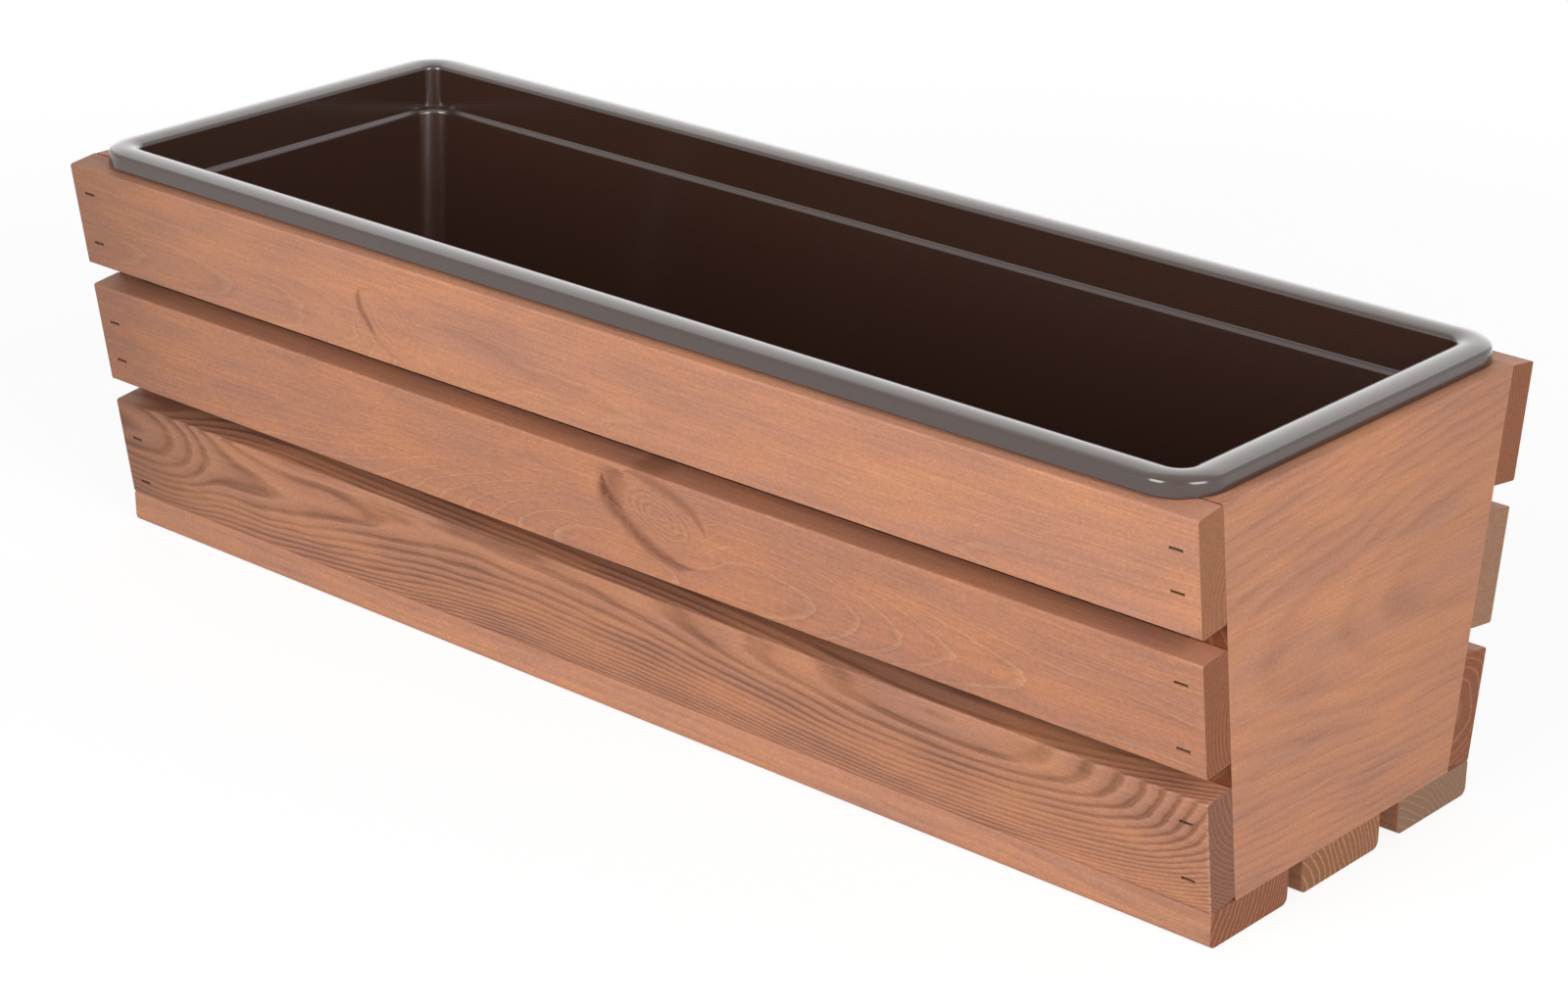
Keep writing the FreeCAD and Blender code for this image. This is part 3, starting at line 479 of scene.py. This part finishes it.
for side_name, sign in (("left", -1), ("right", 1)):
    centre = Vector((sign * (BOARD_LENGTH - PANEL_THICKNESS) / 2, 0,
                     SLAT_THICKNESS + PANEL_HEIGHT / 2))
    wood = stained_softwood("glazed_pine_end_panel_" + side_name, centre * MM,
                            (0, 0, math.radians(90)), -sign, 2 * TOP_HALF,
                            PANEL_GRAIN[side_name])
    bm = bmesh.new()
    bmesh.ops.create_cube(bm, size=1.0)
    bmesh.ops.scale(bm, vec=(PANEL_THICKNESS, 2 * INNER_HALF, PANEL_HEIGHT), verts=bm.verts)
    upper = [vert for vert in bm.verts if vert.co.z > 0]
    bmesh.ops.scale(bm, vec=(1, TOP_HALF / INNER_HALF, 1), verts=upper)
    long_edges = [edge for edge in bm.edges
                  if edge.verts[0].co.z > 0 and edge.verts[1].co.z > 0
                  and abs(edge.verts[0].co.y - edge.verts[1].co.y) > TOP_HALF]
    bmesh.ops.bevel(bm, geom=long_edges, offset=PANEL_ARRIS, segments=4, profile=0.5,
                    affect="EDGES", material=-1)
    bm.transform(Matrix.Scale(MM, 4) @ Matrix.Translation(centre))
    piece = finish_piece("panel_" + side_name, bm, wood, "end_panel_" + side_name, "trough")

# --- Base battens -----------------------------------------------------------------------------
# Three planed softwood boards that lie flat under the end panels and carry the planter. Their
# lower edges are rounded more than the upper ones, and their staples are driven from below.
OUTER_BATTEN, MIDDLE_BATTEN = 48.5, 51.5
BATTEN_LOW_RADIUS, BATTEN_TOP_RADIUS = 3.0, 0.8
MIDDLE_SHIFT = -2.0
STAPLE_PITCH, STAPLE_INSET = 16.0, 8.0
OUTER_Y = (BASE_WIDTH - OUTER_BATTEN) / 2
# width, middle of the board, and how far its staples stand from there
BATTENS = {"front": (OUTER_BATTEN, -OUTER_Y, STAPLE_INSET),
           "middle": (MIDDLE_BATTEN, MIDDLE_SHIFT, 0.0),
           "rear": (OUTER_BATTEN, OUTER_Y, -STAPLE_INSET)}
BATTEN_GRAIN = {
    "front": dict(depth=[(0, 70), (1, 60)], height=[(0, 18), (0.5, 30), (1, 24)],
                  ring_area=330.0, contrast=0.22, seed=52.0, end_rings=0.6, light="#c58e72",
                  tone=[(0, 0.92), (0.1, 0.98), (0.8, 1.05), (1, 0.95)]),
    "middle": dict(depth=[(0, 60), (1, 55)], height=[(0, -10), (1, -22)], ring_area=330.0,
                   contrast=0.3, seed=57.0, end_rings=0.8, end="#94613f"),
    "rear": dict(depth=[(0, 30), (1, 35)], height=[(0, -30), (1, -34)], ring_area=260.0,
                 contrast=0.3, seed=63.0, end_rings=0.3, end="#8f6d55"),
}

for batten_name, (width, centre_y, inset) in BATTENS.items():
    centre = Vector((0, centre_y, SLAT_THICKNESS / 2))
    grain = BATTEN_GRAIN[batten_name]
    wood = stained_softwood("glazed_pine_batten_" + batten_name, centre * MM, (0, 0, 0), 1,
                            BOARD_LENGTH, grain)
    bm = planed_board(BOARD_LENGTH, width, SLAT_THICKNESS, BATTEN_LOW_RADIUS, BATTEN_TOP_RADIUS,
                      grain["seed"])
    seat = Matrix.Scale(MM, 4) @ Matrix.Translation(centre)
    bm.transform(seat)
    piece = finish_piece("batten_" + batten_name, bm, wood, "base_batten_" + batten_name, "trough")
    spots = [Vector((end * STAPLE_X, inset + row * STAPLE_PITCH / 2, -SLAT_THICKNESS / 2))
             for end in (-1, 1) for row in (-1, 1)]
    cut_staple_slots(piece, seat, spots, Matrix.Rotation(math.radians(180), 4, "X"))

# --- Liner ------------------------------------------------------------------------------------
# A thin tub, injection moulded in glossy dark brown polypropylene. Its walls lean outwards, a
# narrow ledge runs round below the collar, and the low-crowned rim rests on the panels.
BOX_TOP = SLAT_THICKNESS + PANEL_HEIGHT
WALL = 1.5
LINER_SHIFT = Vector((0.95, -0.3, 0.0))
PLAY_X, PLAY_Y = 3.45, 2.17
COLLAR_DEPTH, COLLAR_DRAFT = 12.0, 1.5
LEDGE_WIDTH, LEDGE_DROP = 2.2, 0.8
RIM_HALF, RIM_CROWN, RIM_SHOULDER = 6.7, 3.0, 2.0
RIM_SKIRT, RIM_FLARE, RIM_SEAT, RIM_CORNER = 4.3, 0.5, 0.3, 13.0
TUB_CORNER, TUB_FLOOR_GAP, TUB_SIDE_GAP, TUB_BEND = 12.0, 10.0, 3.3, 8.0
TUB_END_DRAFT = math.radians(5.0)
LEAN = math.tan(SIDE_TILT)
LEDGE_Z = BOX_TOP - COLLAR_DEPTH
LEDGE_Y = INNER_HALF + (LEDGE_Z - WALL - SLAT_THICKNESS) * LEAN - PLAY_Y
COLLAR_X, COLLAR_Y = BOARD_LENGTH / 2 - PANEL_THICKNESS - PLAY_X, LEDGE_Y + COLLAR_DRAFT
LEDGE_X = COLLAR_X - COLLAR_DRAFT
COLLAR_CORNER = RIM_CORNER - RIM_HALF + WALL
# the crest of the rim runs round this outline
CREST_X, CREST_Y = COLLAR_X - WALL + RIM_HALF, COLLAR_Y - WALL + RIM_HALF
ROLL_Z = BOX_TOP + RIM_SEAT + RIM_SKIRT
FLOOR_Z = SLAT_THICKNESS + TUB_FLOOR_GAP
TUB_X, TUB_Y = LEDGE_X - LEDGE_WIDTH, LEDGE_Y - LEDGE_WIDTH
FLOOR_X = TUB_X - (LEDGE_Z - FLOOR_Z) * math.tan(TUB_END_DRAFT)
FLOOR_Y = INNER_HALF + TUB_FLOOR_GAP * LEAN - TUB_SIDE_GAP
CORNER_STEPS = 16


def moulded_plastic(name):
    """Polished-mould polypropylene: deep gloss, with the faint ripple of a cooling skin."""
    material = bpy.data.materials.new(name)
    material.use_nodes = True
    tree = material.node_tree
    tree.nodes.clear()
    where = add_node(tree, "TexCoord")
    # 0.06 waves per millimetre make a ripple of 17 mm, and 0.9 make a skin of 1.1 mm, which is
    # coarser than the real one, so that it shows
    ripple = add_node(tree, "TexNoise", {"Vector": where.outputs["Object"], "Scale": 0.06 / MM,
                                         "Detail": 1.0})
    skin = add_node(tree, "TexNoise", {"Vector": where.outputs["Object"], "Scale": 0.9 / MM,
                                       "Detail": 2.0})
    relief = add_node(tree, "Math", {0: skin, 1: 0.04, 2: ripple}, operation="MULTIPLY_ADD")
    bump = add_node(tree, "Bump", {"Height": relief, "Strength": 0.25, "Distance": 0.25 * MM})
    tone = add_node(tree, "MixRGB", {"Fac": skin, "Color1": linear("#37221a"),
                                     "Color2": linear("#412a20")})
    rough = add_node(tree, "MapRange", {"Value": skin, "To Min": 0.14, "To Max": 0.24})
    shader = add_node(tree, "BsdfPrincipled", {
        "Base Color": tone, "Roughness": rough, "Normal": bump, "IOR": 1.5,
        "Specular IOR Level": 0.75, "Coat Weight": 0.45, "Coat Roughness": 0.08})
    add_node(tree, "OutputMaterial", {"Surface": shader})
    return material


plastic = moulded_plastic("moulded_polypropylene_brown")


def rim_section(skin):
    """Offset from the crest and height of the rim's face, from the tub side to the outside."""
    offset = RIM_HALF - RIM_SHOULDER
    crown = (offset ** 2 + RIM_CROWN ** 2 - RIM_SHOULDER ** 2) / (2 * (RIM_CROWN - RIM_SHOULDER))
    lean = math.degrees(math.asin(offset / (crown - RIM_SHOULDER)))
    arcs = [(-offset, 0.0, RIM_SHOULDER - skin, 180, 90 + lean, 7),
            (0.0, RIM_CROWN - crown, crown - skin, 90 + lean, 90 - lean, 10),
            (offset, 0.0, RIM_SHOULDER - skin, 90 - lean, 0, 7)]
    section = []
    for middle, height, radius, first, last, steps in arcs:
        for step in range(0 if not section else 1, steps + 1):
            angle = math.radians(first + (last - first) * step / steps)
            section.append((middle + radius * math.cos(angle),
                            ROLL_Z + height + radius * math.sin(angle)))
    return section


def floor_bend(skin, steps=6):
    """Rings of the bend between floor and wall, from the floor up."""
    bend = TUB_BEND - skin
    rings = []
    for step in range(steps + 1):
        angle = math.radians(90 * step / steps)
        inset = skin + bend * (1 - math.sin(angle))
        rings.append((FLOOR_X - inset, FLOOR_Y - inset, TUB_CORNER - inset,
                      FLOOR_Z + skin + bend * (1 - math.cos(angle))))
    return rings


def liner_rings():
    """Half length, half width, corner radius and height of each outline, outside to inside."""
    rings = floor_bend(0.0)
    rings.append((TUB_X, TUB_Y, TUB_CORNER, LEDGE_Z - LEDGE_DROP - WALL))
    rings.append((LEDGE_X, LEDGE_Y, COLLAR_CORNER, LEDGE_Z - WALL))
    for grow, level in rim_section(WALL):
        rings.append((CREST_X + grow, CREST_Y + grow, RIM_CORNER + grow, level))
    for grow in (RIM_HALF + RIM_FLARE - WALL, RIM_HALF + RIM_FLARE):
        rings.append((CREST_X + grow, CREST_Y + grow, RIM_CORNER + grow, BOX_TOP + RIM_SEAT))
    for grow, level in reversed(rim_section(0.0)):
        rings.append((CREST_X + grow, CREST_Y + grow, RIM_CORNER + grow, level))
    # the mould eases the ledge's two edges, the lower one more; the collar leans by its draft
    ease, lip = 0.3, 1.2
    slope = LEDGE_DROP / LEDGE_WIDTH
    draft = 0.04
    rings.append((LEDGE_X - WALL + draft, LEDGE_Y - WALL + draft, COLLAR_CORNER - WALL,
                  LEDGE_Z + ease))
    rings.append((LEDGE_X - WALL - ease, LEDGE_Y - WALL - ease, COLLAR_CORNER - WALL,
                  LEDGE_Z - ease * slope))
    for step in range(5):
        over, under = (1 - step / 4) ** 2 * lip, (step / 4) ** 2 * lip
        grow = over - under * LEAN - WALL
        rings.append((TUB_X + grow, TUB_Y + grow, TUB_CORNER + grow,
                      LEDGE_Z - LEDGE_DROP + over * slope - under))
    rings += reversed(floor_bend(WALL))
    return rings


def at_ring(spoke, ring):
    """Place of one spoke of a rounded rectangle on one outline."""
    sign_x, sign_y, turn_x, turn_y = spoke
    half_x, half_y, radius, level = ring
    return Vector((sign_x * (half_x - radius) + turn_x * radius,
                   sign_y * (half_y - radius) + turn_y * radius, level))


bm = bmesh.new()
bmesh.ops.create_grid(bm, x_segments=1, y_segments=1, size=1.0)
bmesh.ops.bevel(bm, geom=bm.verts[:], offset=0.5, segments=CORNER_STEPS, profile=0.5,
                affect="VERTICES", material=-1)
rings = liner_rings()
spokes = {}
for vert in bm.verts:
    sign_x, sign_y = math.copysign(1, vert.co.x), math.copysign(1, vert.co.y)
    turned = Vector((vert.co.x - sign_x * 0.5, vert.co.y - sign_y * 0.5)).normalized()
    spokes[vert] = (sign_x, sign_y, turned.x, turned.y)
for vert, spoke in spokes.items():
    vert.co = at_ring(spoke, rings[0])
loop = bm.edges[:]
for ring in rings[1:]:
    old = {tuple(round(part, 6) for part in vert.co): spoke for vert, spoke in spokes.items()}
    grown = bmesh.ops.extrude_edge_only(bm, edges=loop)["geom"]
    loop = [item for item in grown if isinstance(item, bmesh.types.BMEdge)]
    fresh = [item for item in grown if isinstance(item, bmesh.types.BMVert)]
    spokes = {vert: old[tuple(round(part, 6) for part in vert.co)] for vert in fresh}
    for vert, spoke in spokes.items():
        vert.co = at_ring(spoke, ring)
bmesh.ops.contextual_create(bm, geom=loop)
bmesh.ops.recalc_face_normals(bm, faces=bm.faces)
bm.transform(Matrix.Scale(MM, 4) @ Matrix.Translation(LINER_SHIFT))
for face in bm.faces:
    face.smooth = True
piece = finish_piece("liner_tub", bm, plastic, "liner", "liner_tub")
piece.data.set_sharp_from_angle(angle=math.radians(40))
# the wide flat walls keep their own direction next to the bends
steady = piece.modifiers.new("flat walls", "WEIGHTED_NORMAL")
steady.weight = 90
steady.keep_sharp = True

# --- Staples ----------------------------------------------------------------------------------
# Bent galvanised wire, 1.2 x 0.9 mm, with a 6 mm crown. Eighteen pairs hold the boards, and the
# punch has sunk them below the wood. Their CAD shapes stay, and only the finish is added.


def dull_wire(name):
    """Zinc that the glaze has dulled: dark, with grey spots where the metal shows."""
    material = bpy.data.materials.new(name)
    material.use_nodes = True
    tree = material.node_tree
    tree.nodes.clear()
    where = add_node(tree, "TexCoord")
    # the spots are 1.1 mm wide
    spots = add_node(tree, "TexNoise", {"Vector": where.outputs["Object"], "Scale": 0.9 / MM})
    tone = add_node(tree, "MixRGB", {"Fac": spots, "Color1": linear("#3a2c25"),
                                     "Color2": linear("#5b4a41")})
    shader = add_node(tree, "BsdfPrincipled", {"Base Color": tone, "Metallic": 0.9,
                                               "Roughness": 0.6})
    add_node(tree, "OutputMaterial", {"Surface": shader})
    return material


wire = dull_wire("galvanised_wire_dull")
for node_name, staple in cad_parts.items():
    if node_name.startswith("staples_"):
        staple.data.materials.clear()
        staple.data.materials.append(wire)

# --- Floor, backdrop and light ----------------------------------------------------------------
# A plain pale floor under white surroundings. Two tall soft lamps stand in front, one on each
# side of the camera, and a wide one hangs behind, for the gloss on the rim.


def seen_directly(tree):
    """1 for the rays that look at a surface, also in gloss and through glass, or else 0."""
    path = add_node(tree, "LightPath")
    seen = add_node(tree, "Math", {0: path.outputs["Is Camera Ray"],
                                   1: path.outputs["Is Glossy Ray"]}, operation="ADD")
    return add_node(tree, "Math", {0: seen, 1: path.outputs["Is Transmission Ray"]},
                    operation="ADD", use_clamp=True)


FLOOR_HALF = 6.0  # metres
floor_bm = bmesh.new()
bmesh.ops.create_grid(floor_bm, x_segments=1, y_segments=1, size=FLOOR_HALF)
floor_mesh = bpy.data.meshes.new("floor")
floor_bm.to_mesh(floor_mesh)
floor_bm.free()
floor = bpy.data.objects.new("floor", floor_mesh)
scene.collection.objects.link(floor)
# Matt white paper: its fibres scatter the light without gloss. It lights the planter as pale
# grey paper would, and to the eye it is white from 2 m away on, with a faint shadow near by.
paper = bpy.data.materials.new("matt_white_paper")
paper.use_nodes = True
tree = paper.node_tree
tree.nodes.clear()
seen = seen_directly(tree)
matt = add_node(tree, "BsdfDiffuse", {"Color": linear("#c8c6c4")})
faint = add_node(tree, "BsdfDiffuse", {"Color": linear("#7a7a7a")})
spread = add_node(tree, "VectorMath", {0: add_node(tree, "TexCoord").outputs["Object"]},
                  operation="LENGTH").outputs["Value"]
strength = add_node(tree, "MapRange", {"Value": spread, "From Min": 0.7, "From Max": 2.0,
                                       "To Min": 0.86, "To Max": 1.0})
glow = add_node(tree, "Emission", {"Color": (1.0, 1.0, 1.0, 1.0), "Strength": strength})
lit = add_node(tree, "AddShader", {0: faint, 1: glow})
both = add_node(tree, "MixShader", {0: seen, 1: matt, 2: lit})
add_node(tree, "OutputMaterial", {"Surface": both})
floor.data.materials.append(paper)

world = bpy.data.worlds.new("white_surroundings")
scene.world = world
world.use_nodes = True
tree = world.node_tree
tree.nodes.clear()
level = add_node(tree, "MapRange", {"Value": seen_directly(tree), "To Min": 0.18,
                                    "To Max": 1.0})
add_node(tree, "OutputWorld", {"Surface": add_node(tree, "Background", {
    "Color": (1.0, 1.0, 1.0, 1.0), "Strength": level})})

# name, bearing and height in degrees, distance, width and height in metres, and how bright the
# lamp looks, where about 1 is white
LAMPS = [
    ("lamp_front", -93, 25, 2.6, 1.2, 1.7, 6.4),
    ("lamp_right", -12, 25, 2.6, 1.2, 1.7, 5.6),
    ("lamp_behind", 125, 28, 2.4, 3.4, 2.6, 0.72),
]
for lamp_name, bearing, height, distance, size_x, size_y, brightness in LAMPS:
    light = bpy.data.lights.new(lamp_name, "AREA")
    light.shape = "RECTANGLE"
    light.size = size_x
    light.size_y = size_y
    light.energy = math.pi * size_x * size_y * brightness
    lamp = bpy.data.objects.new(lamp_name, light)
    toward = Vector((math.cos(math.radians(height)) * math.cos(math.radians(bearing)),
                     math.cos(math.radians(height)) * math.sin(math.radians(bearing)),
                     math.sin(math.radians(height))))
    lamp.location = toward * distance
    lamp.rotation_euler = toward.to_track_quat("Z", "Y").to_euler()
    lamp.visible_camera = False
    scene.collection.objects.link(lamp)
